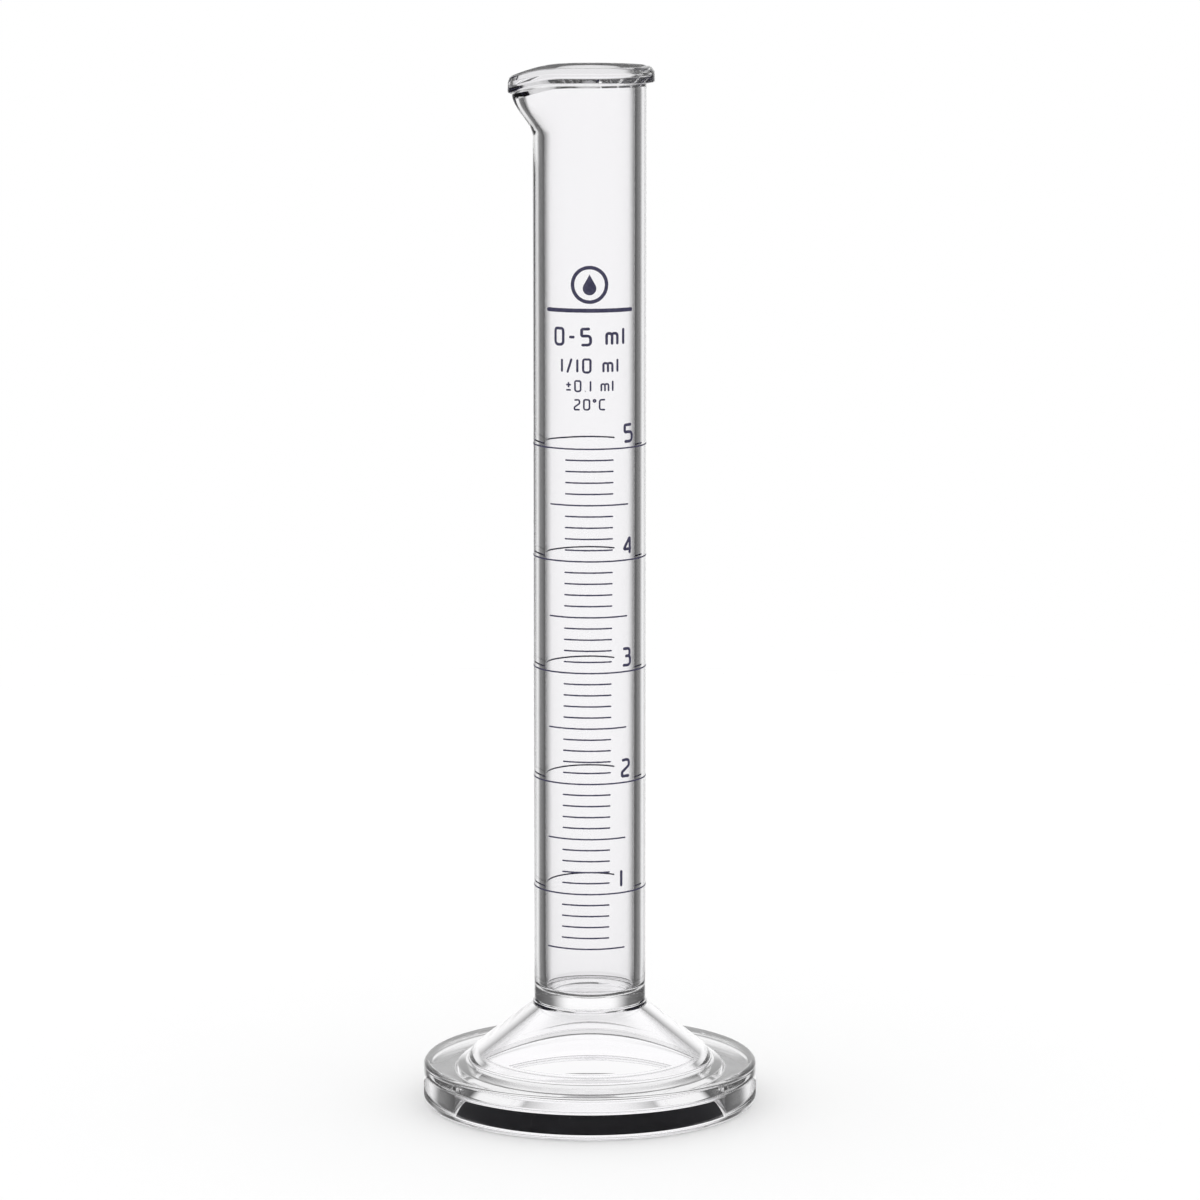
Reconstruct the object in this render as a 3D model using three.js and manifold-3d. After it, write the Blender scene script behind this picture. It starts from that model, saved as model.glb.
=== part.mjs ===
// A 5 ml graduated measuring cylinder, divided in 0.1 ml: a drawn glass tube with a closed base and a
// pouring lip, fused to a pressed hollow glass foot, with a scale, numerals and a short inscription
// fired on in dark enamel. Millimetres, +Z up. The origin is the centre of the foot's underside, the
// scale faces -Y and the lip points to -X.

import * as THREE from "three";
import { mergeVertices } from "three/addons/utils/BufferGeometryUtils.js";
import Module from "manifold-3d";

const wasm = await Module();
wasm.setup();

// ---- Driving dimensions -----------------------------------------------------------------------

const OVERALL_HEIGHT = 117.3;
const TUBE_RADIUS = 6.3;
const BORE_RADIUS = 5.035;
const AROUND = 48;

// The foot: a flat disc with a low cone on it and a short neck.
const FOOT_RADIUS = 18.9;
const DISC_HEIGHT = 4.95;
const CONE_BASE_RADIUS = 13.9;
const SHOULDER = { radius: 13.3, height: 6.05, round: 1.6 };
const NECK_RADIUS = 6.45;
const CONE_TOP = 11.45;
const NECK_HEIGHT = 0.3;

// The hollow under the foot: a steep wall at its mouth, a cone a little steeper than the one outside,
// and a small flat roof close under the tube's base.
const HOLLOW_MOUTH_RADIUS = 15.2;
const HOLLOW_WALL = { radius: 15, height: 2.6, round: 0.8 };
const HOLLOW_CONE = { radius: 13.4, height: 4, round: 1 };
const HOLLOW_ROOF = { radius: 4.4, height: 11.6, round: 1 };

// The tube's closed base and its rim, lip included.
const TUBE_BOTTOM = 12;
const BORE_FLOOR = 13;
const FLOOR_ROUND = 0.9;
const RIM_HEIGHT = 2.4;
const LIP = { reach: 2.3, start: 7.6, full: 2.2, drop: 1.2, halfAngle: 33 };

// The scale: one millilitre is the length of bore that holds 1000 cubic millimetres.
const MILLILITRE = 1000 / (Math.PI * BORE_RADIUS ** 2);
const SCALE_ZERO = 12.62;
const SCALE_TOP_ML = 5;
const LOWEST_MARK_ML = 0.5;
const STEPS_PER_ML = 10;

// Enamel: how far it stands clear of the glass, how thick it is, and how long and tall its marks are.
const ENAMEL_GAP = 0.05;
const ENAMEL_THICKNESS = 0.05;
const RING = { from: -212, to: 92, line: 0.17 };
const HALF_MARK = { halfSpan: 43.2, line: 0.17 };
const SHORT_MARK = { halfSpan: 25.1, line: 0.17 };
const SKEW_PER_ML = 1.1;
const DEGREES_PER_STEP = 7.5;
const STEPS_PER_CURVE_SEGMENT = 2;

const NUMERAL = { azimuth: 37.4, width: 1.65, height: 2.2, stroke: 0.33, lift: 0.55 };

// The inscription above the scale: an emblem of a drop in a ring over a bar, and four lines that are
// plain plates here, one for each line of small lettering.
const EMBLEM = { height: 93.6, ringRadius: 2.1, ringLine: 0.4, dropRadius: 0.75, dropHeight: 2.3 };
const EMBLEM_BAR = { height: 90.75, halfSpan: 48, line: 0.45 };
const TEXT_LINES = [
  { height: 87.85, halfSpan: 42, line: 2.1 },
  { height: 84.65, halfSpan: 42, line: 1.7 },
  { height: 82.4, halfSpan: 36, line: 1.35 },
  { height: 80.35, halfSpan: 27, line: 1.3 },
];

const INK = new THREE.MeshStandardMaterial({ color: 0x34324f, roughness: 0.35, metalness: 0 });
const GLASS = new THREE.MeshStandardMaterial({
  color: 0xf4f6f7,
  roughness: 0.02,
  metalness: 0,
  transparent: true,
  opacity: 0.35,
});

// ---- Helpers ----------------------------------------------------------------------------------

const model = new THREE.Group();

function addPart(name, geometry, material) {
  const mesh = new THREE.Mesh(geometry, material);
  mesh.name = name;
  model.add(mesh);
  return mesh;
}

const radians = THREE.MathUtils.degToRad;
const point = (x, y) => new THREE.Vector2(x, y);
const ease = (t) => THREE.MathUtils.smoothstep(t, 0, 1);

/** Replaces the corner b of the outline a-b-c with an arc of the given radius. */
function roundedCorner(a, b, c, radius, steps = 3) {
  const toA = a.clone().sub(b).normalize();
  const toC = c.clone().sub(b).normalize();
  const halfAngle = Math.acos(toA.dot(toC)) / 2;
  const run = radius / Math.tan(halfAngle);
  const bisector = toA.clone().add(toC).normalize();
  const centre = b.clone().addScaledVector(bisector, radius / Math.sin(halfAngle));
  const start = b.clone().addScaledVector(toA, run).sub(centre);
  const end = b.clone().addScaledVector(toC, run).sub(centre);
  const sweep = Math.atan2(start.cross(end), start.dot(end));
  return Array.from({ length: steps + 1 }, (_, i) =>
    start.clone().rotateAround(point(0, 0), (sweep * i) / steps).add(centre),
  );
}

/** Turns corners given as [x, y, radius] into an outline, with an arc wherever the radius isn't 0. */
function roundedOutline(corners) {
  const at = (i) => point(corners[i][0], corners[i][1]);
  return corners.flatMap(([, , radius], i) =>
    radius ? roundedCorner(at(i - 1), at(i), at(i + 1), radius) : [at(i)],
  );
}

/** A solid of revolution about Z from [radius, height] points that start and end on the axis. */
function turned(profile) {
  return new THREE.LatheGeometry(profile, AROUND).rotateX(Math.PI / 2);
}

/** Moves every vertex of a geometry by a function of its place. */
function reshape(geometry, place) {
  const position = geometry.getAttribute("position");
  const vertex = new THREE.Vector3();
  for (let i = 0; i < position.count; i += 1) {
    vertex.fromBufferAttribute(position, i);
    position.setXYZ(i, ...place(vertex).toArray());
  }
  geometry.computeVertexNormals();
  return geometry;
}

// ---- Glass foot -------------------------------------------------------------------------------

function glassFoot() {
  const bottomRound = 1;
  const topRound = 0.6;
  const baseFillet = 0.9;
  return turned(
    roundedOutline([
      [0, HOLLOW_ROOF.height, 0],
      [HOLLOW_ROOF.radius, HOLLOW_ROOF.height, HOLLOW_ROOF.round],
      [HOLLOW_CONE.radius, HOLLOW_CONE.height, HOLLOW_CONE.round],
      [HOLLOW_WALL.radius, HOLLOW_WALL.height, HOLLOW_WALL.round],
      [HOLLOW_MOUTH_RADIUS, 0, 0],
      [FOOT_RADIUS, 0, bottomRound],
      [FOOT_RADIUS, DISC_HEIGHT, topRound],
      [CONE_BASE_RADIUS, DISC_HEIGHT, baseFillet],
      [SHOULDER.radius, SHOULDER.height, SHOULDER.round],
      [NECK_RADIUS, CONE_TOP, 0],
      [NECK_RADIUS, CONE_TOP + NECK_HEIGHT, 0],
      [TUBE_RADIUS, CONE_TOP + NECK_HEIGHT, 0],
      [TUBE_RADIUS, TUBE_BOTTOM, 0],
      [0, TUBE_BOTTOM, 0],
    ]),
  );
}

// ---- Glass tube -------------------------------------------------------------------------------

/** The rim from the wall's outside, over the bead and down to the bore: [radius, height, rounding]. */
function rimCorners() {
  const top = OVERALL_HEIGHT;
  return [
    [TUBE_RADIUS, top - 1.95, 0],
    [7.25, top - 1.8, 0.15],
    [7.2, top - 0.65, 0.2],
    [6.7, top, 0.3],
    [6.1, top, 0.3],
    [6.05, top - 1.1, 0.3],
    [BORE_RADIUS, top - 2.25, 0],
  ];
}

/** Half an outline of the tube: closed base, straight wall, and a thick square-shouldered rim. */
function tubeProfile() {
  const wallSteps = 6;
  const outer = [];
  const inner = [];
  for (let i = 0; i <= wallSteps; i += 1) {
    const low = OVERALL_HEIGHT - LIP.start;
    const high = OVERALL_HEIGHT - RIM_HEIGHT;
    const height = THREE.MathUtils.lerp(low, high, i / wallSteps);
    outer.push([TUBE_RADIUS, height, 0]);
    inner.unshift([BORE_RADIUS, height, 0]);
  }
  return roundedOutline([
    [0, TUBE_BOTTOM, 0],
    [TUBE_RADIUS, TUBE_BOTTOM, 0],
    ...outer,
    ...rimCorners(),
    ...inner,
    [BORE_RADIUS, BORE_FLOOR, FLOOR_ROUND],
    [0, BORE_FLOOR, 0],
  ]);
}

/**
 * Draws the rim out and down into the pouring lip, most at -X and fading to either side of it. The rim
 * is thinner on the lip than round the rest of the mouth.
 */
function pullLip(vertex) {
  const radius = Math.hypot(vertex.x, vertex.y);
  const climb = (vertex.z - (OVERALL_HEIGHT - LIP.start)) / (LIP.start - LIP.full);
  if (climb <= 0 || radius === 0) {
    return vertex;
  }
  const share = (Math.min(climb, 1) + ease(climb)) / 2;
  const swell = Math.max(radius - TUBE_RADIUS, 0);
  const azimuth = THREE.MathUtils.radToDeg(Math.atan2(vertex.y, -vertex.x));
  const nearness = Math.exp(-((azimuth / LIP.halfAngle) ** 2));
  const pulled = radius + (LIP.reach - swell / 2) * nearness * share;
  const height = vertex.z - LIP.drop * nearness * share;
  return new THREE.Vector3((vertex.x * pulled) / radius, (vertex.y * pulled) / radius, height);
}

function glassTube() {
  return reshape(turned(tubeProfile()), pullLip);
}

// ---- Enamel marks -----------------------------------------------------------------------------

const INNER_INK = TUBE_RADIUS + ENAMEL_GAP;
const OUTER_INK = INNER_INK + ENAMEL_THICKNESS;

const heightOf = (millilitres) => SCALE_ZERO + MILLILITRE * millilitres;
const skewAt = (millilitres) => SKEW_PER_ML * (millilitres - SCALE_TOP_ML);

/** A line of enamel around the tube between two azimuths, which run from -Y towards +X. */
function line(from, to, height, thickness) {
  const start = radians(from - 90);
  const end = radians(to - 90);
  const outline = new THREE.Shape()
    .absarc(0, 0, OUTER_INK, start, end, false)
    .absarc(0, 0, INNER_INK, end, start, true);
  const curveSegments = Math.ceil((to - from) / DEGREES_PER_STEP / STEPS_PER_CURVE_SEGMENT);
  return new THREE.ExtrudeGeometry(outline, {
    depth: thickness,
    bevelEnabled: false,
    curveSegments,
  }).translate(0, 0, height - thickness / 2);
}

function addMarks() {
  const lowest = Math.round(LOWEST_MARK_ML * STEPS_PER_ML);
  const highest = SCALE_TOP_ML * STEPS_PER_ML;
  for (let step = highest; step >= lowest; step -= 1) {
    const millilitres = step / STEPS_PER_ML;
    const label = millilitres.toFixed(1).replace(".", "_");
    const height = heightOf(millilitres);
    const middle = skewAt(millilitres);
    if (step % STEPS_PER_ML === 0) {
      addPart(`ring_mark_${label}_ml`, line(RING.from, RING.to, height, RING.line), INK);
    } else if (step % (STEPS_PER_ML / 2) === 0) {
      const { halfSpan } = HALF_MARK;
      const mark = line(middle - halfSpan, middle + halfSpan, height, HALF_MARK.line);
      addPart(`half_mark_${label}_ml`, mark, INK);
    } else {
      const { halfSpan } = SHORT_MARK;
      const mark = line(middle - halfSpan, middle + halfSpan, height, SHORT_MARK.line);
      addPart(`short_mark_${label}_ml`, mark, INK);
    }
  }
}

// ---- Enamel figures ---------------------------------------------------------------------------

/** Wraps a flat figure round the tube: x runs along the wall from an azimuth, y up from a height. */
function wrapped(geometry, azimuth, height) {
  return reshape(geometry, ({ x, y, z }) => {
    const angle = radians(azimuth) + x / TUBE_RADIUS;
    const radius = INNER_INK + z;
    return new THREE.Vector3(radius * Math.sin(angle), -radius * Math.cos(angle), height + y);
  });
}

/** The outline of a pen stroke of the given width along a line of points, with round ends. */
function strokeShape(points, width) {
  const direction = (i) => {
    const ahead = points[Math.min(i + 1, points.length - 1)].clone();
    return ahead.sub(points[Math.min(i + 1, points.length - 1) - 1]).normalize();
  };
  const side = (i) => {
    const before = direction(Math.max(i - 1, 0));
    const after = direction(i);
    const mitre = before.clone().add(after).normalize();
    const reach = width / 2 / mitre.dot(after);
    return point(-mitre.y, mitre.x).multiplyScalar(reach);
  };
  const cap = (i, sign) =>
    [1, 2].map((k) =>
      side(i)
        .multiplyScalar(sign)
        .rotateAround(point(0, 0), (-Math.PI * k) / 3)
        .add(points[i]),
    );
  const left = points.map((p, i) => p.clone().add(side(i)));
  const right = points.map((p, i) => p.clone().sub(side(i))).reverse();
  const last = points.length - 1;
  return new THREE.Shape([...left, ...cap(last, 1), ...right, ...cap(0, -1)]);
}

const enamel = (shape, curveSegments) =>
  new THREE.ExtrudeGeometry(shape, { depth: ENAMEL_THICKNESS, bevelEnabled: false, curveSegments });

/** Splits long straight runs so that they can follow the tube's curve. */
function subdivided(points, longest) {
  const result = [points[0]];
  for (let i = 1; i < points.length; i += 1) {
    const parts = Math.ceil(points[i].distanceTo(points[i - 1]) / longest);
    for (let k = 1; k <= parts; k += 1) {
      result.push(points[i - 1].clone().lerp(points[i], k / parts));
    }
  }
  return result;
}

/** A quarter or more of a circle as points, between two angles in degrees. */
function arc(x, y, radiusX, radiusY, from, to) {
  const curve = new THREE.EllipseCurve(x, y, radiusX, radiusY, radians(from), radians(to), to < from);
  return curve.getPoints(Math.ceil(Math.abs(to - from) / 30));
}

/** The pen strokes of each numeral, in a box one unit wide and one unit tall. */
const NUMERAL_STROKES = {
  5: [[point(0.95, 1), point(0.05, 1), point(0.05, 0.6), ...arc(0.62, 0.31, 0.34, 0.29, 90, -80), point(0.05, 0)]],
  4: [
    [point(0.78, 1), point(0, 0.3), point(1, 0.3)],
    [point(0.78, 1), point(0.78, 0)],
  ],
  3: [
    [point(0.05, 1), ...arc(0.65, 0.77, 0.28, 0.23, 80, -70), point(0.4, 0.53)],
    [point(0.4, 0.53), ...arc(0.65, 0.27, 0.3, 0.26, 70, -80), point(0.05, 0)],
  ],
  2: [[point(0.05, 1), ...arc(0.65, 0.73, 0.3, 0.27, 80, -40), point(0.08, 0.22), point(0.08, 0), point(0.95, 0)]],
  1: [[point(0.1, 1), point(0.1, 0)]],
};

/** Merges a geometry's shared corners and hands it to the boolean library as a solid. */
function toSolid(geometry) {
  const bare = geometry.clone();
  bare.deleteAttribute("normal");
  bare.deleteAttribute("uv");
  const merged = mergeVertices(bare, 1e-5);
  const vertProperties = new Float32Array(merged.getAttribute("position").array);
  const triVerts = new Uint32Array(merged.getIndex().array);
  return new wasm.Manifold(new wasm.Mesh({ numProp: 3, vertProperties, triVerts }));
}

function toGeometry(solid) {
  const { vertProperties, triVerts } = solid.getMesh();
  const geometry = new THREE.BufferGeometry();
  geometry.setAttribute("position", new THREE.BufferAttribute(vertProperties, 3));
  geometry.setIndex(new THREE.BufferAttribute(triVerts, 1));
  geometry.computeVertexNormals();
  return geometry;
}

function joined(geometries) {
  return geometries.length === 1
    ? geometries[0]
    : toGeometry(geometries.map(toSolid).reduce((whole, piece) => whole.add(piece)));
}

function numeral(digit) {
  const size = point(NUMERAL.width - NUMERAL.stroke, NUMERAL.height - NUMERAL.stroke);
  const base = heightOf(digit) + NUMERAL.lift + NUMERAL.stroke / 2;
  const azimuth = NUMERAL.azimuth + skewAt(digit);
  const strokes = NUMERAL_STROKES[digit].map((points) => {
    const scaled = subdivided(points.map((p) => p.clone().multiply(size)), 0.7);
    return wrapped(enamel(strokeShape(scaled, NUMERAL.stroke)), azimuth, base);
  });
  return joined(strokes);
}

// ---- Inscription ------------------------------------------------------------------------------

function emblemRing() {
  const ring = new THREE.Shape().absarc(0, 0, EMBLEM.ringRadius, 0, 2 * Math.PI, false);
  const inside = new THREE.Path().absarc(0, 0, EMBLEM.ringRadius - EMBLEM.ringLine, 0, 2 * Math.PI, true);
  ring.holes.push(inside);
  const quarterOfTheSides = 12;
  return wrapped(enamel(ring, quarterOfTheSides), 0, EMBLEM.height);
}

/** A round drop with a pointed top. */
function emblemDrop() {
  const { dropRadius, dropHeight } = EMBLEM;
  const centre = dropRadius - dropHeight / 2;
  const shoulder = radians(25);
  const drop = new THREE.Shape()
    .moveTo(0, dropHeight / 2)
    .lineTo(-dropRadius * Math.cos(shoulder), centre + dropRadius * Math.sin(shoulder))
    .absarc(0, centre, dropRadius, Math.PI - shoulder, 2 * Math.PI + shoulder, false);
  return wrapped(enamel(drop, 6), 0, EMBLEM.height);
}

// ---- Assembly ---------------------------------------------------------------------------------

addPart("glass_foot", glassFoot(), GLASS);
addPart("glass_tube", glassTube(), GLASS);
addMarks();
for (let digit = SCALE_TOP_ML; digit >= 1; digit -= 1) {
  addPart(`numeral_${digit}`, numeral(digit), INK);
}
addPart("emblem_ring", emblemRing(), INK);
addPart("emblem_drop", emblemDrop(), INK);
const { halfSpan, height, line: barLine } = EMBLEM_BAR;
addPart("emblem_bar", line(-halfSpan, halfSpan, height, barLine), INK);
TEXT_LINES.forEach((text, i) => {
  addPart(`text_line_${i + 1}`, line(-text.halfSpan, text.halfSpan, text.height, text.line), INK);
});

export default model;
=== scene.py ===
"""The looks of a 5 ml graduated cylinder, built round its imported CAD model.

The glass is two fine shells, tube and foot, that meet without a surface between them, as fused glass does.
The scale, the numerals, the emblem and the small lettering are raised enamel on the outside of the tube.
Everything is in metres in the model's own frame: +Z up, the scale towards -Y and the lip towards -X.
"""

import math

import bmesh
import bpy
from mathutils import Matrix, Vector, noise


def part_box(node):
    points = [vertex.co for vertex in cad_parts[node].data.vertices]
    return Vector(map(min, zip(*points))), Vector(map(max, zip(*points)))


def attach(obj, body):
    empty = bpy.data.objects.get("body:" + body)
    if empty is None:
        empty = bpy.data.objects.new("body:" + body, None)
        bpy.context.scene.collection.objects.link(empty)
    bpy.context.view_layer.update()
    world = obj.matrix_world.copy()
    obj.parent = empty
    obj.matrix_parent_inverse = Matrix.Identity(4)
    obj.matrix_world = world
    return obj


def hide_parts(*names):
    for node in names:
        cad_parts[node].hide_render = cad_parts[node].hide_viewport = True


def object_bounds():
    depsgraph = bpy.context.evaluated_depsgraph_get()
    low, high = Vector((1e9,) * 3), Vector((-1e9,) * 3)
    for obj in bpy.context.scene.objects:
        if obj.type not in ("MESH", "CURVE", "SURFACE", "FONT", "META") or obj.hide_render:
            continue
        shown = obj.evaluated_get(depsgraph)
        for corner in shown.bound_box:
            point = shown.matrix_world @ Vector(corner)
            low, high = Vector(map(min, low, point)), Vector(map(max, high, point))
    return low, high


MM = 0.001
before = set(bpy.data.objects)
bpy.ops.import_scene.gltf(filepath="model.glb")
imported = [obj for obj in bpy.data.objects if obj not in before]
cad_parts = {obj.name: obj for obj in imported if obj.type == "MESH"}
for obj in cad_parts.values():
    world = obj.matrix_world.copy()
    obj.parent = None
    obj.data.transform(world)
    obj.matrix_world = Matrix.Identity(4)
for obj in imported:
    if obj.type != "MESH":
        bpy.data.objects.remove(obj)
cad_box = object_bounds()

# ---- Sizes taken from the frame ------------------------------------------------------------------

RING_NODES = {ml: f"ring_mark_{ml}_0_ml" for ml in range(1, 6)}


def middle(node):
    low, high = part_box(node)
    return (low + high) / 2


def thickness(node):
    low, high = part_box(node)
    return high.z - low.z


def reach(node):
    """How far a node that goes round the Z axis stands out from it."""
    low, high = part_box(node)
    return max(-low.x, -low.y, high.x, high.y)


CAD_ENAMEL_STAND = 0.1 * MM  # from the glass to the outside of the CAD model's enamel
TUBE_RADIUS = reach(RING_NODES[5]) - CAD_ENAMEL_STAND
MILLILITRE = (middle(RING_NODES[5]).z - middle(RING_NODES[1]).z) / 4
BORE_RADIUS = math.sqrt(1000 * MM**3 / (math.pi * MILLILITRE))
FOOT_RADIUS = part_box("glass_foot")[1].x
SEAM_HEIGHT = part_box("glass_tube")[0].z
OVERALL_HEIGHT = cad_box[1].z
MIDDLE = Vector((0, 0, OVERALL_HEIGHT / 2))

# ---- Shapes of the glass, in millimetres ---------------------------------------------------------
# A corner is (radius, height, rounding), and each corner of RIM is (radius, depth below the top, rounding).

AROUND = 256
SHARP_ANGLE = math.radians(22)

DISC_HEIGHT = 4.95
CONE_BASE_RADIUS = 13.9
CONE_BASE_ROUND = 0.9
SHOULDER = (13.3, 6.05, 1.6)
NECK_RADIUS = 6.45
CONE_TOP = 11.45
CONE_TOP_ROUND = 0.25
NECK_TOP = 11.75
NECK_TOP_ROUND = 0.12
NECK_STEP = 0.1
DISC_TOP_ROUND = 0.6
DISC_FOOT_ROUND = 1.0
HOLLOW_ROOF = (4.4, 11.6, 1.0)
HOLLOW_CONE = (13.4, 4.0, 1.0)
HOLLOW_WALL = (15.0, 2.6, 0.8)
HOLLOW_MOUTH_RADIUS = 15.2
HOLLOW_MOUTH_ROUND = 0.15
BORE_FLOOR = 13.0
FLOOR_ROUND = 0.9
FLOOR_CLEAR = 4.0
RIM_HEIGHT = 2.4
RIM = [
    (6.3, 1.96, 0.05),
    (7.25, 1.8, 0.22),
    (7.2, 0.65, 0.25),
    (6.74, 0, 0.75),
    (6.12, 0, 0.36),
    (6.05, 1.11, 0.47),
    (5.05, 2.25, 0.05),
]
WALL_STEPS = 24
LIP_STEPS = 20
LIP_REACH = 2.3
LIP_START = 7.6
LIP_FULL = 2.2
LIP_DROP = 1.2
LIP_HALF_ANGLE = 33.0

# ---- Enamel --------------------------------------------------------------------------------------

ENAMEL_HEIGHT = 0.022 * MM
ENAMEL_ROOT = 0.012 * MM
OVERLAP_LIFT = 0.1  # how much higher each further stroke of a character stands, as a share of the enamel
RAGGED = 0.014 * MM
COARSE_GRAIN, FINE_GRAIN = 0.35 * MM, 0.09 * MM
RIGHT_EDGE, LEFT_EDGE = 11.3, 47.9  # where in the noise each edge of a stroke is read
CAP_DEGREES = (12, 28, 44, 60, 76, 90)
MARK_STEP = 0.16 * MM
LETTER_STEP = 0.1 * MM
RING_FROM, RING_TO = -212, 92
NUMERAL_HEIGHT = 2.2 * MM
NUMERAL_STROKE = 0.33 * MM
NUMERAL_LIFT = 0.55 * MM
NUMERAL_AZIMUTH = 37.4
NUMERAL_SKEW = 1.05
LETTER_STROKE = 0.15
LETTER_GAP = 0.34
EMBLEM_LINE = 0.4 * MM
DROP_BELLY = 0.75 * MM
DROP_SHOULDER = math.radians(25)

# ---- Outlines ------------------------------------------------------------------------------------


def corner_arc(a, b, c, radius, steps):
    """The arc that rounds the corner b between a and c."""
    a, b, c = Vector(a), Vector(b), Vector(c)
    to_a, to_c = (a - b).normalized(), (c - b).normalized()
    half = math.acos(max(-1.0, min(1.0, to_a.dot(to_c)))) / 2
    run = min(radius / math.tan(half), 0.49 * (a - b).length, 0.49 * (c - b).length)
    radius = run * math.tan(half)
    centre = b + (to_a + to_c).normalized() * (radius / math.sin(half))
    start, end = b + to_a * run - centre, b + to_c * run - centre
    sweep = math.atan2(start.x * end.y - start.y * end.x, start.dot(end))
    turned = []
    for i in range(steps + 1):
        angle = sweep * i / steps
        x = start.x * math.cos(angle) - start.y * math.sin(angle)
        y = start.x * math.sin(angle) + start.y * math.cos(angle)
        turned.append((centre.x + x, centre.y + y))
    return turned


def rounded(corners, steps=10):
    """Corners (x, y, radius) as a line of points, with an arc wherever a radius is given."""
    line = []
    for i, (x, y, radius) in enumerate(corners):
        if radius:
            before, after = corners[i - 1][:2], corners[i + 1][:2]
            line += corner_arc(before, (x, y), after, radius, steps)
        else:
            line.append((x, y))
    return line


def spread(low, high, count):
    """count + 1 numbers from low to high."""
    return [low + (high - low) * i / count for i in range(count + 1)]


# ---- Glass ---------------------------------------------------------------------------------------


def finish_mesh(name, bm, material, sharp=True):
    """Turns a bmesh into a smooth-shaded object in the scene."""
    bmesh.ops.recalc_face_normals(bm, faces=bm.faces)
    mesh = bpy.data.meshes.new(name)
    bm.to_mesh(mesh)
    bm.free()
    mesh.polygons.foreach_set("use_smooth", [True] * len(mesh.polygons))
    if sharp:
        mesh.set_sharp_from_angle(angle=SHARP_ANGLE)
    mesh.materials.append(material)
    piece = bpy.data.objects.new(name, mesh)
    bpy.context.scene.collection.objects.link(piece)
    return piece


def turned_shell(profile, reshape=None):
    """A surface of revolution from (radius, height) points in millimetres. A point on the axis closes it."""
    bm = bmesh.new()
    rings = []
    for radius, height in profile:
        if radius < 1e-6:
            rings.append([bm.verts.new((0, 0, height * MM))])
            continue
        ring = []
        for k in range(AROUND):
            angle = 2 * math.pi * k / AROUND
            place = Vector((radius * math.cos(angle), radius * math.sin(angle), height))
            place = reshape(place) if reshape else place
            ring.append(bm.verts.new(place * MM))
        rings.append(ring)
    for below, above in zip(rings, rings[1:]):
        for k in range(AROUND):
            following = (k + 1) % AROUND
            if len(below) == 1:
                bm.faces.new((below[0], above[k], above[following]))
            elif len(above) == 1:
                bm.faces.new((below[k], above[0], below[following]))
            else:
                bm.faces.new((below[k], above[k], above[following], below[following]))
    return bm


def foot_profile():
    """From the middle of the hollow's roof, out under the foot and up over it to the seam with the tube."""
    tube_radius = TUBE_RADIUS / MM
    foot_radius = FOOT_RADIUS / MM
    return rounded(
        [
            (0, HOLLOW_ROOF[1], 0),
            HOLLOW_ROOF,
            HOLLOW_CONE,
            HOLLOW_WALL,
            (HOLLOW_MOUTH_RADIUS, 0, HOLLOW_MOUTH_ROUND),
            (foot_radius, 0, DISC_FOOT_ROUND),
            (foot_radius, DISC_HEIGHT, DISC_TOP_ROUND),
            (CONE_BASE_RADIUS, DISC_HEIGHT, CONE_BASE_ROUND),
            SHOULDER,
            (NECK_RADIUS, CONE_TOP, CONE_TOP_ROUND),
            (NECK_RADIUS, NECK_TOP, NECK_TOP_ROUND),
            (tube_radius, NECK_TOP + NECK_STEP, NECK_STEP),
            (tube_radius, SEAM_HEIGHT / MM, 0),
        ]
    )


def tube_profile():
    """From the seam up the outside, round the rim's bead and down the bore to the middle of its floor."""
    outside, bore = TUBE_RADIUS / MM, BORE_RADIUS / MM
    top = OVERALL_HEIGHT / MM
    wall_top = top - RIM_HEIGHT
    lip_heights = spread(top - LIP_START, wall_top, LIP_STEPS)
    wall_heights = spread(SEAM_HEIGHT / MM, top - LIP_START, WALL_STEPS)
    up = [(outside, height) for height in wall_heights + lip_heights[1:]]
    down = [(bore, height) for height in reversed(lip_heights)]
    corners = [(radius, top - depth, rounding) for radius, depth, rounding in RIM]
    bead = rounded([(*up[-1], 0)] + corners + [(*down[0], 0)])[1:-1]
    floor = rounded([(bore, BORE_FLOOR + FLOOR_CLEAR, 0), (bore, BORE_FLOOR, FLOOR_ROUND), (0, BORE_FLOOR, 0)])
    return up + bead + down + floor


def pull_lip(place):
    """Draws the rim out and down into the pouring lip, most at -X and fading to either side."""
    radius = math.hypot(place.x, place.y)
    climb = (place.z - (OVERALL_HEIGHT / MM - LIP_START)) / (LIP_START - LIP_FULL)
    if climb <= 0:
        return place
    climb = min(1.0, climb)
    smooth = climb * climb * (3 - 2 * climb)
    eased = (climb + smooth) / 2
    azimuth = math.degrees(math.atan2(place.y, -place.x))
    nearness = math.exp(-((azimuth / LIP_HALF_ANGLE) ** 2))
    swell = max(0.0, radius - TUBE_RADIUS / MM)
    grow = (radius + (LIP_REACH - swell / 2) * nearness * eased) / radius
    return Vector((place.x * grow, place.y * grow, place.z - LIP_DROP * nearness * eased))


# ---- Enamel strokes ------------------------------------------------------------------------------


def on_tube(along, height, stand):
    """A point on the tube's outside: along its wall from the scale's middle, up it, and out from it."""
    angle = along / TUBE_RADIUS
    radius = TUBE_RADIUS + stand
    return Vector((radius * math.sin(angle), -radius * math.cos(angle), height))


def along_at(azimuth):
    return TUBE_RADIUS * math.radians(azimuth)


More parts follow.
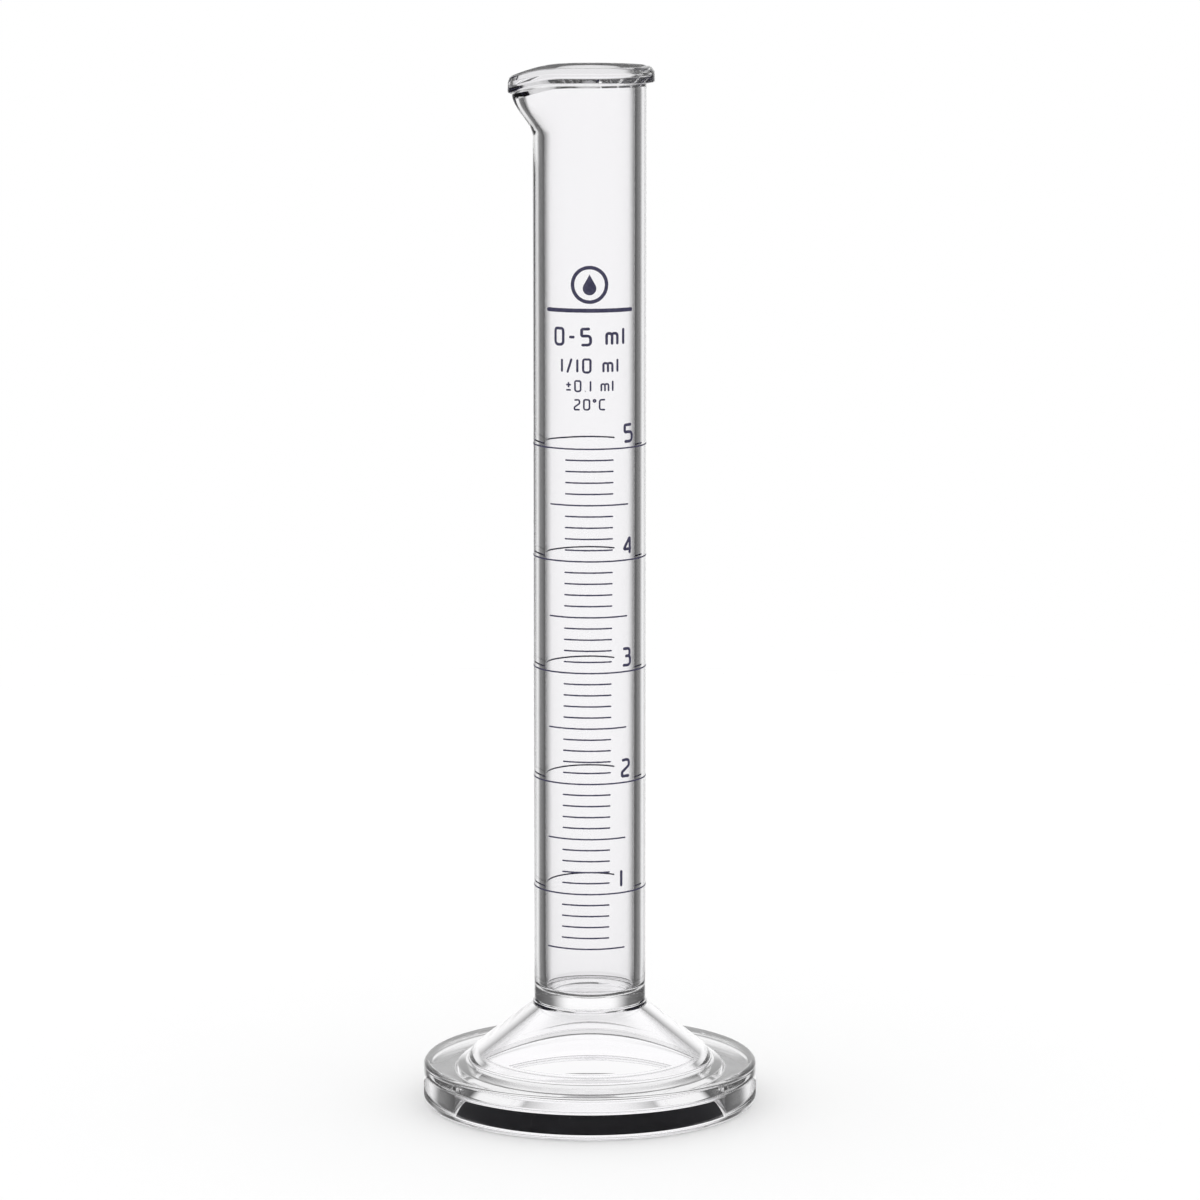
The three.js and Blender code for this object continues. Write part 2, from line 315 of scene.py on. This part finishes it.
class Path:
    """A line of flat points that can be asked for the place at a distance along it."""

    def __init__(self, points, closed=False):
        self.closed = closed
        self.points = [Vector(p) for p in points]
        self.marks = [0.0]
        for a, b in zip(self.points, self.points[1:]):
            self.marks.append(self.marks[-1] + (b - a).length)
        self.length = self.marks[-1]

    def place(self, distance):
        if self.closed:
            distance %= self.length
        distance = max(0.0, min(self.length, distance))
        i = 1
        while i < len(self.marks) - 1 and self.marks[i] < distance:
            i += 1
        span = self.marks[i] - self.marks[i - 1]
        share = (distance - self.marks[i - 1]) / span if span else 0.0
        return self.points[i - 1].lerp(self.points[i], share)

    def side(self, distance):
        """The unit vector to the left of the way the line runs."""
        nudge = 0.03 * MM
        ahead = self.place(distance + nudge) - self.place(distance - nudge)
        return Vector((-ahead.y, ahead.x)).normalized()


def stations(path, half_width, step):
    """Distances along a path, close together at its round ends, each with its share of the full width."""
    if path.closed:
        count = max(12, round(path.length / step))
        return [(path.length * i / count, 1.0) for i in range(count)]
    cap = []
    for degrees in CAP_DEGREES:
        angle = math.radians(degrees)
        cap.append((half_width * (1 - math.cos(angle)), math.sin(angle)))
    inner = max(1, round((path.length - 2 * half_width) / step))
    body = spread(half_width, path.length - half_width, inner)[1:-1]
    back = [(path.length - distance, share) for distance, share in reversed(cap)]
    return cap + [(distance, 1.0) for distance in body] + back


def ragged_edge(place, side):
    """How far the print's edge strays at a place, in metres."""
    seed = RIGHT_EDGE if side > 0 else LEFT_EDGE
    coarse = noise.noise(Vector((place.x / COARSE_GRAIN, place.y / COARSE_GRAIN, seed)))
    fine = noise.noise(Vector((place.x / FINE_GRAIN, place.y / FINE_GRAIN, seed)))
    return RAGGED * (coarse + 0.5 * fine)


def add_stroke(bm, points, width, order=0, step=MARK_STEP, closed=False):
    """Adds one low enamel ridge with round ends along flat points (along the wall, up it)."""
    path = Path(points, closed)
    half = width / 2
    crown = ENAMEL_HEIGHT + order * OVERLAP_LIFT * ENAMEL_HEIGHT
    left_half = [(-1, -ENAMEL_ROOT), (-1, 0.4 * crown), (-0.8, crown)]
    section = left_half + [(-across, stand) for across, stand in reversed(left_half)]
    loops = []
    for distance, share in stations(path, half, step):
        place, side = path.place(distance), path.side(distance)
        loop = []
        for across, stand in section:
            sign = 1 if across > 0 else -1
            aside = (half * share + ragged_edge(place, sign) * share) * abs(across) * sign
            spot = place + side * aside
            loop.append(bm.verts.new(on_tube(spot.x, spot.y, stand)))
        loops.append(loop)
    pairs = list(zip(loops, loops[1:]))
    if closed:
        pairs.append((loops[-1], loops[0]))
    else:
        bm.faces.new(loops[0])
        bm.faces.new(reversed(loops[-1]))
    size = len(section)
    for first, second in pairs:
        for i in range(size):
            j = (i + 1) % size
            bm.faces.new((first[i], first[j], second[j], second[i]))


def add_patch(bm, outline):
    """Adds a filled enamel shape from its outline, which has to be seen whole from its middle."""
    hub = sum((Vector(p) for p in outline), Vector((0, 0))) / len(outline)
    top, under = [], []
    rise = [(1.0, -ENAMEL_ROOT), (1.0, 0.5 * ENAMEL_HEIGHT)]
    flat = [(share, ENAMEL_HEIGHT) for share in (0.92, 0.6, 0.3)]
    for share, stand in rise + flat:
        ring = []
        for p in outline:
            spot = hub + (Vector(p) - hub) * share
            ring.append(bm.verts.new(on_tube(spot.x, spot.y, stand)))
        top.append(ring)
    for share in (0.6, 0.3):
        ring = []
        for p in outline:
            spot = hub + (Vector(p) - hub) * share
            ring.append(bm.verts.new(on_tube(spot.x, spot.y, -ENAMEL_ROOT)))
        under.append(ring)
    count = len(outline)
    for rings, stand in ((top, ENAMEL_HEIGHT), ([top[0]] + under, -ENAMEL_ROOT)):
        for a, b in zip(rings, rings[1:]):
            for i in range(count):
                j = (i + 1) % count
                bm.faces.new((a[i], a[j], b[j], b[i]))
        centre = bm.verts.new(on_tube(hub.x, hub.y, stand))
        for i in range(count):
            bm.faces.new((rings[-1][i], rings[-1][(i + 1) % count], centre))


# ---- Lettering -----------------------------------------------------------------------------------
# Pen strokes of each character, as corners (x, y, round) in units of the character's height.

ROUND = 0.2
GLYPHS = {
    "0": (
        0.56,
        [[(0.28, 1, 0), (0.56, 1, ROUND), (0.56, 0, ROUND), (0, 0, ROUND), (0, 1, ROUND), (0.28, 1, 0)]],
    ),
    "1": (0.1, [[(0.05, 1, 0), (0.05, 0, 0)]]),
    "2": (
        0.6,
        [
            [
                (0.03, 0.97, 0),
                (0.57, 1, ROUND),
                (0.56, 0.62, 0.12),
                (0.05, 0.26, 0.06),
                (0.04, 0, 0.04),
                (0.6, 0, 0),
            ]
        ],
    ),
    "3": (
        0.6,
        [
            [(0.05, 1, 0), (0.56, 1, 0.16), (0.56, 0.55, 0.16), (0.2, 0.55, 0)],
            [(0.2, 0.55, 0), (0.6, 0.55, 0.18), (0.6, 0, ROUND), (0.03, 0, 0)],
        ],
    ),
    "4": (0.62, [[(0.5, 1, 0), (0.03, 0.27, 0.04), (0.62, 0.29, 0)], [(0.5, 1, 0), (0.5, 0, 0)]]),
    "5": (
        0.6,
        [
            [
                (0.56, 1, 0),
                (0.04, 0.98, 0.04),
                (0.04, 0.56, 0.06),
                (0.6, 0.56, ROUND),
                (0.6, 0, ROUND),
                (0.02, 0, 0),
            ]
        ],
    ),
    ".": (0.1, [[(0.02, 0.02, 0), (0.07, 0.02, 0)]]),
    "-": (0.36, [[(0, 0.48, 0), (0.36, 0.48, 0)]]),
    "/": (0.36, [[(0, -0.05, 0), (0.36, 1.05, 0)]]),
    "m": (
        0.72,
        [
            [(0, 0, 0), (0, 0.7, 0)],
            [(0, 0.5, 0), (0, 0.7, 0.12), (0.36, 0.7, 0.16), (0.36, 0, 0)],
            [(0.36, 0.5, 0), (0.36, 0.7, 0.12), (0.72, 0.7, 0.16), (0.72, 0, 0)],
        ],
    ),
    "l": (0.06, [[(0.03, 1, 0), (0.03, 0, 0)]]),
    "+-": (
        0.5,
        [[(0.25, 0.88, 0), (0.25, 0.36, 0)], [(0, 0.62, 0), (0.5, 0.62, 0)], [(0, 0.12, 0), (0.5, 0.12, 0)]],
    ),
    "deg": (
        0.22,
        [[(0.11, 1, 0), (0.22, 1, 0.11), (0.22, 0.78, 0.11), (0, 0.78, 0.11), (0, 1, 0.11), (0.11, 1, 0)]],
    ),
    "C": (0.56, [[(0.56, 1, 0), (0, 1, ROUND), (0, 0, ROUND), (0.56, 0, 0)]]),
    " ": (0.2, []),
}


def add_character(bm, character, left, base, height, stroke):
    """Draws one character with its lower left corner at a place on the wall, and gives its width."""
    width, strokes = GLYPHS[character]
    for order, corners in enumerate(strokes):
        flat = rounded(corners, steps=6)
        closed = len(flat) > 2 and flat[0] == flat[-1]
        points = [(left + x * height, base + y * height) for x, y in flat]
        add_stroke(bm, points, stroke, order, step=LETTER_STEP, closed=closed)
    return width * height


def add_lettering(bm, characters, middle_along, base, height):
    """Draws a line of characters centred on a place on the wall."""
    stroke = LETTER_STROKE * height
    inner = height - stroke
    gap = LETTER_GAP * height
    total = sum(GLYPHS[c][0] * inner for c in characters) + gap * (len(characters) - 1)
    left = middle_along - total / 2
    for c in characters:
        left += add_character(bm, c, left, base + stroke / 2, inner, stroke) + gap


# ---- Materials -----------------------------------------------------------------------------------


class Nodes:
    """A small helper that adds nodes to a material's tree and links them."""

    def __init__(self, tree):
        self.tree = tree

    def add(self, kind, settings=None, **inputs):
        node = self.tree.nodes.new(kind)
        for name, value in (settings or {}).items():
            setattr(node, name, value)
        for name, value in inputs.items():
            self.put(node, name.replace("_", " "), value)
        return node

    def put(self, node, name, value):
        socket = node.inputs[int(name)] if name.isdigit() else node.inputs[name]
        if isinstance(value, bpy.types.NodeSocket):
            self.tree.links.new(value, socket)
        else:
            socket.default_value = value

    def maths(self, operation, a, b=0.0):
        node = self.add("ShaderNodeMath", {"operation": operation})
        self.put(node, "0", a)
        self.put(node, "1", b)
        return node.outputs[0]

    def between(self, value, low, high, first, last, smooth=False):
        """Maps value from low..high to first..last and holds it there outside that range."""
        node = self.add("ShaderNodeMapRange")
        node.interpolation_type = "SMOOTHSTEP" if smooth else "LINEAR"
        self.put(node, "Value", value)
        for name, number in (("From Min", low), ("From Max", high), ("To Min", first), ("To Max", last)):
            self.put(node, name, number)
        return node.outputs["Result"]

    def fade(self, angle, edges, first, last, smooth=True):
        """Goes from first to last as an angle passes between two edges, which are in degrees."""
        low, high = (math.radians(edge) for edge in edges)
        return self.between(angle, low, high, first, last, smooth)

    def surface(self, output):
        """Makes an output the surface of the material."""
        self.put(self.tree.nodes["Material Output"], "Surface", output)

    def let_through(self, shader, share):
        """Lets a share of the light, 0 to 1, pass straight through the surface."""
        mix = self.add("ShaderNodeMixShader")
        self.put(mix, "0", share)
        self.put(mix, "1", shader.outputs[0])
        self.put(mix, "2", self.add("ShaderNodeBsdfTransparent").outputs[0])
        self.surface(mix.outputs[0])

    def blend(self, factor, first, last):
        node = self.add("ShaderNodeMix", {"data_type": "RGBA"})
        self.put(node, "0", factor)
        node.inputs[6].default_value = (*first, 1)
        node.inputs[7].default_value = (*last, 1)
        return node.outputs[2]

    def place(self, scale):
        """The object's own coordinates, stretched along each axis."""
        coordinates = self.add("ShaderNodeTexCoord")
        mapping = self.add("ShaderNodeMapping", Vector=coordinates.outputs["Object"], Scale=scale)
        return mapping.outputs["Vector"]

    def noise(self, scale, size=(1, 1, 1), detail=2.0):
        node = self.add("ShaderNodeTexNoise", Vector=self.place(size), Scale=scale, Detail=detail)
        return node.outputs["Fac"]


GLASS_REFRACTION = 1.473
GLASS_TINT = (0.991, 0.987, 0.996)
DUST_COLOUR = (0.25, 0.24, 0.23)
DUST_SCALE = 420.0
DUST_RARITY = 0.93
DUST_SIZE = 0.035
WAVE_SCALE = 260.0
THIN_ENAMEL = (0.036, 0.034, 0.078)
THICK_ENAMEL = (0.062, 0.058, 0.115)
PATCH_SCALE = 2600.0
GRAIN_SCALE = 9000.0


def new_material(name):
    material = bpy.data.materials.new(name)
    material.use_nodes = True
    nodes = Nodes(material.node_tree)
    shader = material.node_tree.nodes["Principled BSDF"]
    return material, nodes, shader


def glass_material(name, streaks):
    """Clear glass with rare specks of dust. streaks stretches its faint waves along the way it was worked."""
    material, nodes, shader = new_material(name)
    shader.inputs["IOR"].default_value = GLASS_REFRACTION
    shader.inputs["Transmission Weight"].default_value = 1.0
    shader.inputs["Roughness"].default_value = 0.0
    dust = nodes.add("ShaderNodeTexVoronoi", Vector=nodes.place((1, 1, 1)), Scale=DUST_SCALE)
    rare = nodes.maths("GREATER_THAN", dust.outputs["Color"], DUST_RARITY)
    small = nodes.maths("LESS_THAN", dust.outputs["Distance"], DUST_SIZE)
    speck = nodes.maths("MULTIPLY", rare, small)
    nodes.put(shader, "Base Color", nodes.blend(speck, GLASS_TINT, DUST_COLOUR))
    wave = nodes.noise(WAVE_SCALE, streaks, 1.0)
    bump = nodes.add("ShaderNodeBump", Strength=0.02, Distance=0.02 * MM, Height=wave)
    nodes.put(shader, "Normal", bump.outputs["Normal"])
    return material


def enamel_material():
    """Dark blue-violet fired enamel, a little thin and uneven, with a soft gloss."""
    material, nodes, shader = new_material("fired enamel")
    patchy = nodes.noise(PATCH_SCALE, detail=3.0)
    cover = nodes.between(patchy, 0.35, 0.7, 0.0, 1.0)
    nodes.put(shader, "Base Color", nodes.blend(cover, THIN_ENAMEL, THICK_ENAMEL))
    nodes.put(shader, "Roughness", nodes.between(patchy, 0.3, 0.7, 0.3, 0.5))
    grain = nodes.noise(GRAIN_SCALE)
    bump = nodes.add("ShaderNodeBump", Strength=0.15, Distance=0.01 * MM, Height=grain)
    nodes.put(shader, "Normal", bump.outputs["Normal"])
    return material


# ---- The object ----------------------------------------------------------------------------------

TUBE_GLASS = glass_material("drawn glass", (3.0, 3.0, 0.12))
FOOT_GLASS = glass_material("pressed glass", (1.0, 1.0, 1.0))
ENAMEL = enamel_material()


def place_piece(piece, slot, *nodes):
    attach(piece, "root")
    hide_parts(*nodes)


def make_glass():
    foot = finish_mesh("foot_glass", turned_shell(foot_profile()), FOOT_GLASS)
    place_piece(foot, "glass", "glass_foot")
    tube = finish_mesh("tube_glass", turned_shell(tube_profile(), pull_lip), TUBE_GLASS)
    place_piece(tube, "glass", "glass_tube")


def make_enamel(node, draw):
    """One enamel piece that stands for a CAD node. draw adds its strokes to a bmesh."""
    bm = bmesh.new()
    draw(bm)
    place_piece(finish_mesh(f"fired_{node}", bm, ENAMEL), "enamel", node)


def make_line(node, start, end):
    """A level line of the node's own height and thickness between two azimuths."""
    height = middle(node).z
    points = [(along_at(azimuth), height) for azimuth in (start, end)]
    make_enamel(node, lambda bm: add_stroke(bm, points, thickness(node)))


def span_of(node):
    """The azimuths that a mark on the front of the tube lies between."""
    low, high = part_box(node)
    radius = TUBE_RADIUS + CAD_ENAMEL_STAND
    return math.degrees(math.asin(low.x / radius)), math.degrees(math.asin(high.x / radius))


def make_marks():
    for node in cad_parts:
        if node.startswith("ring_mark"):
            make_line(node, RING_FROM, RING_TO)
        elif node.startswith(("half_mark", "short_mark", "emblem_bar")):
            make_line(node, *span_of(node))


def make_numerals():
    for digit in range(1, 6):
        azimuth = NUMERAL_AZIMUTH + NUMERAL_SKEW * (digit - 5)
        left = along_at(azimuth)
        base = middle(RING_NODES[digit]).z + NUMERAL_LIFT + NUMERAL_STROKE / 2
        height = NUMERAL_HEIGHT - NUMERAL_STROKE

        def draw(bm, digit=digit, left=left, base=base, height=height):
            add_character(bm, str(digit), left, base, height, NUMERAL_STROKE)

        make_enamel(f"numeral_{digit}", draw)


TEXT_LINES = {
    "text_line_1": ["0", "-", "5", " ", "m", "l"],
    "text_line_2": ["1", "/", "1", "0", " ", "m", "l"],
    "text_line_3": ["+-", "0", ".", "1", " ", "m", "l"],
    "text_line_4": ["2", "0", "deg", "C"],
}


def make_lettering():
    for node, characters in TEXT_LINES.items():
        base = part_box(node)[0].z
        make_enamel(node, lambda bm, n=node, c=characters, b=base: add_lettering(bm, c, 0.0, b, thickness(n)))


def make_emblem():
    """A drop in a ring, which is a plain sign for a liquid measure."""
    centre = middle("emblem_ring").z
    radius = thickness("emblem_ring") / 2 - EMBLEM_LINE / 2
    circle = []
    for angle in spread(0, 2 * math.pi, 96):
        circle.append((radius * math.cos(angle), centre + radius * math.sin(angle)))
    make_enamel("emblem_ring", lambda bm: add_stroke(bm, circle, EMBLEM_LINE, closed=True))
    drop_low, drop_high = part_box("emblem_drop")
    hub = drop_low.z + DROP_BELLY
    outline = []
    for angle in spread(math.pi - DROP_SHOULDER, 2 * math.pi + DROP_SHOULDER, 40):
        outline.append((DROP_BELLY * math.cos(angle), hub + DROP_BELLY * math.sin(angle)))
    right, left = Vector(outline[-1]), Vector(outline[0])
    tip = Vector((0, drop_high.z))
    outline += [tuple(right.lerp(tip, t)) for t in spread(0, 1, 8)[1:]]
    outline += [tuple(tip.lerp(left, t)) for t in spread(0, 1, 8)[1:-1]]
    make_enamel("emblem_drop", lambda bm: add_patch(bm, outline))


# ---- Studio --------------------------------------------------------------------------------------
# Angles are in degrees. An azimuth is counted to either side from straight behind the object, and a pair of
# angles is where a light starts to fade and where it ends. Lengths of the card are in millimetres.

LENS = 146.85
SENSOR_WIDTH = 36
CAMERA_PLACE = (1.15 * MM, -542.8 * MM, 142.3 * MM)
CAMERA_TILT = -8.87

TENT_RADIUS = 1.6
BACK_LIGHT = 1.08
DARK = 0.1
OVERHEAD = 1.0
SOFT_LIGHT = 1.13
PANEL_SIDE, PANEL_SHARE = (14, 34), 0.9
HALO_SIDE, HALO_SHARE = (34, 55), 0.08
PANEL_TOP = (12, 30)
PANEL_BOTTOM = (-60, -50)
PANEL_DIMMER, PANEL_FOOT = (-22, -11), 0.82
ROOF_EDGE = (20, 30)

FLOOR_RADIUS = 0.4
FLOOR_FADE = (0.12, 0.38)
FLOOR_HEIGHT = -0.02 * MM
FLOOR_COLOUR = (0.9, 0.9, 0.9)

# The card below is painted shade: a near-black sheet that stands in for the shade under the foot, seen only
# through the glass.
CARD_NEAR, CARD_NEAR_HALF = -3, 26
CARD_FAR, CARD_FAR_HALF = 24, 34
CARD_HEIGHT = -4
CARD_SEEN = (13, 19)
SHADE_CARD_COLOUR = (0.012, 0.012, 0.014)


def make_camera():
    data = bpy.data.cameras.new("camera")
    data.lens = LENS
    data.sensor_width = SENSOR_WIDTH
    data.clip_start, data.clip_end = 0.01, 20
    camera = bpy.data.objects.new("camera", data)
    camera.location = CAMERA_PLACE
    camera.rotation_euler = (math.radians(90 + CAMERA_TILT), 0, 0)
    bpy.context.scene.collection.objects.link(camera)
    bpy.context.scene.camera = camera
    return camera


def tent_material():
    """A light tent: a bright soft-edged panel behind and a bright roof, but even light for matt surfaces."""
    material, nodes, shader = new_material("light tent")
    nodes.tree.nodes.remove(shader)
    coordinates = nodes.add("ShaderNodeTexCoord")
    direction = nodes.add("ShaderNodeVectorMath", {"operation": "NORMALIZE"})
    nodes.put(direction, "0", coordinates.outputs["Object"])
    axes = nodes.add("ShaderNodeSeparateXYZ", Vector=direction.outputs[0])
    azimuth = nodes.maths("ABSOLUTE", nodes.maths("ARCTAN2", axes.outputs["X"], axes.outputs["Y"]))
    elevation = nodes.maths("ARCSINE", axes.outputs["Z"])
    sharp = nodes.fade(azimuth, PANEL_SIDE, PANEL_SHARE, 0)
    faint = nodes.fade(azimuth, HALO_SIDE, HALO_SHARE, 0, smooth=False)
    wide = nodes.maths("ADD", sharp, faint)
    above = nodes.fade(elevation, PANEL_TOP, 1, 0)
    below = nodes.fade(elevation, PANEL_BOTTOM, 0, 1)
    dimmer = nodes.fade(elevation, PANEL_DIMMER, PANEL_FOOT, 1)
    tall = nodes.maths("MULTIPLY", nodes.maths("MULTIPLY", above, below), dimmer)
    panel = nodes.maths("MULTIPLY", wide, tall)
    roof = nodes.fade(elevation, ROOF_EDGE, 0, OVERHEAD)
    seen = nodes.maths("MAXIMUM", nodes.between(panel, 0, 1, DARK, BACK_LIGHT), roof)
    light_path = nodes.add("ShaderNodeLightPath")
    after_matt = nodes.maths("GREATER_THAN", light_path.outputs["Diffuse Depth"], 0.5)
    strength = nodes.add("ShaderNodeMix", {"data_type": "FLOAT"})
    nodes.put(strength, "0", after_matt)
    nodes.put(strength, "2", seen)
    nodes.put(strength, "3", SOFT_LIGHT)
    glow = nodes.add("ShaderNodeEmission", Strength=strength.outputs[0])
    nodes.surface(glow.outputs[0])
    material.cycles.emission_sampling = "NONE"
    return material


def make_tent(camera):
    """The tent is round the object and turns with the camera, so that every view is lit alike."""
    bm = bmesh.new()
    bmesh.ops.create_icosphere(bm, subdivisions=5, radius=TENT_RADIUS)
    tent = finish_mesh("light_tent", bm, tent_material(), sharp=False)
    tent.location = MIDDLE
    tent.visible_camera = False
    turn = tent.constraints.new("COPY_ROTATION")
    turn.target = camera
    turn.use_x = False
    turn.use_y = False
    return tent


def matt_material(name, colour, roughness):
    material, nodes, shader = new_material(name)
    shader.inputs["Base Color"].default_value = (*colour, 1)
    shader.inputs["Roughness"].default_value = roughness
    shader.inputs["Specular IOR Level"].default_value = 0.0
    return material, nodes, shader


def flat_sheet(name, corners, height, material):
    """One level face with its corners at (x, y)."""
    bm = bmesh.new()
    bm.faces.new([bm.verts.new((x, y, height)) for x, y in corners])
    return finish_mesh(name, bm, material, sharp=False)


def make_floor():
    """A plain pale floor that fades into the white background, and is seen by the camera alone."""
    material, nodes, shader = matt_material("pale floor", FLOOR_COLOUR, 0.9)
    coordinates = nodes.add("ShaderNodeTexCoord")
    distance = nodes.add("ShaderNodeVectorMath", {"operation": "LENGTH"})
    nodes.put(distance, "0", coordinates.outputs["Object"])
    nodes.let_through(shader, nodes.between(distance.outputs["Value"], *FLOOR_FADE, 0, 1, True))
    circle = []
    for angle in spread(0, 2 * math.pi, 128)[1:]:
        circle.append((FLOOR_RADIUS * math.cos(angle), FLOOR_RADIUS * math.sin(angle)))
    floor = flat_sheet("floor", circle, FLOOR_HEIGHT, material)
    floor.visible_transmission = False
    floor.visible_glossy = False
    floor.visible_diffuse = False
    floor.visible_shadow = False


def make_dark_card(tent):
    """A card under the floor, painted shade: a near-black sheet that stands in for the shade under the foot
    and makes the black band in the foot's edge.

    It turns with the tent. Only rays that meet it at a low angle see it, so from above the glass stays clear.
    """
    material, nodes, shader = matt_material("painted shade card", SHADE_CARD_COLOUR, 1.0)
    geometry = nodes.add("ShaderNodeNewGeometry")
    ray = nodes.add("ShaderNodeSeparateXYZ", Vector=geometry.outputs["Incoming"])
    steepness = nodes.maths("ARCSINE", ray.outputs["Z"])
    nodes.let_through(shader, nodes.fade(steepness, CARD_SEEN, 0, 1))
    near = [(-CARD_NEAR_HALF * MM, CARD_NEAR * MM), (CARD_NEAR_HALF * MM, CARD_NEAR * MM)]
    far = [(CARD_FAR_HALF * MM, CARD_FAR * MM), (-CARD_FAR_HALF * MM, CARD_FAR * MM)]
    card = flat_sheet("painted_shade_card", near + far, CARD_HEIGHT * MM - MIDDLE.z, material)
    card.parent = tent
    card.visible_camera = False
    card.visible_diffuse = False
    card.visible_shadow = False


def set_world():
    world = bpy.data.worlds.new("white")
    world.use_nodes = True
    background = world.node_tree.nodes["Background"]
    background.inputs["Color"].default_value = (1, 1, 1, 1)
    background.inputs["Strength"].default_value = 1.0
    scene = bpy.context.scene
    scene.world = world
    scene.view_settings.view_transform = "Standard"
    scene.cycles.max_bounces = 32
    scene.cycles.glossy_bounces = 32
    scene.cycles.transmission_bounces = 32
    scene.cycles.use_denoising = True


camera = make_camera()
make_glass()
make_marks()
make_numerals()
make_lettering()
make_emblem()
tent = make_tent(camera)
make_floor()
# Adds the painted shade under the foot, seen only through the glass.
make_dark_card(tent)
set_world()
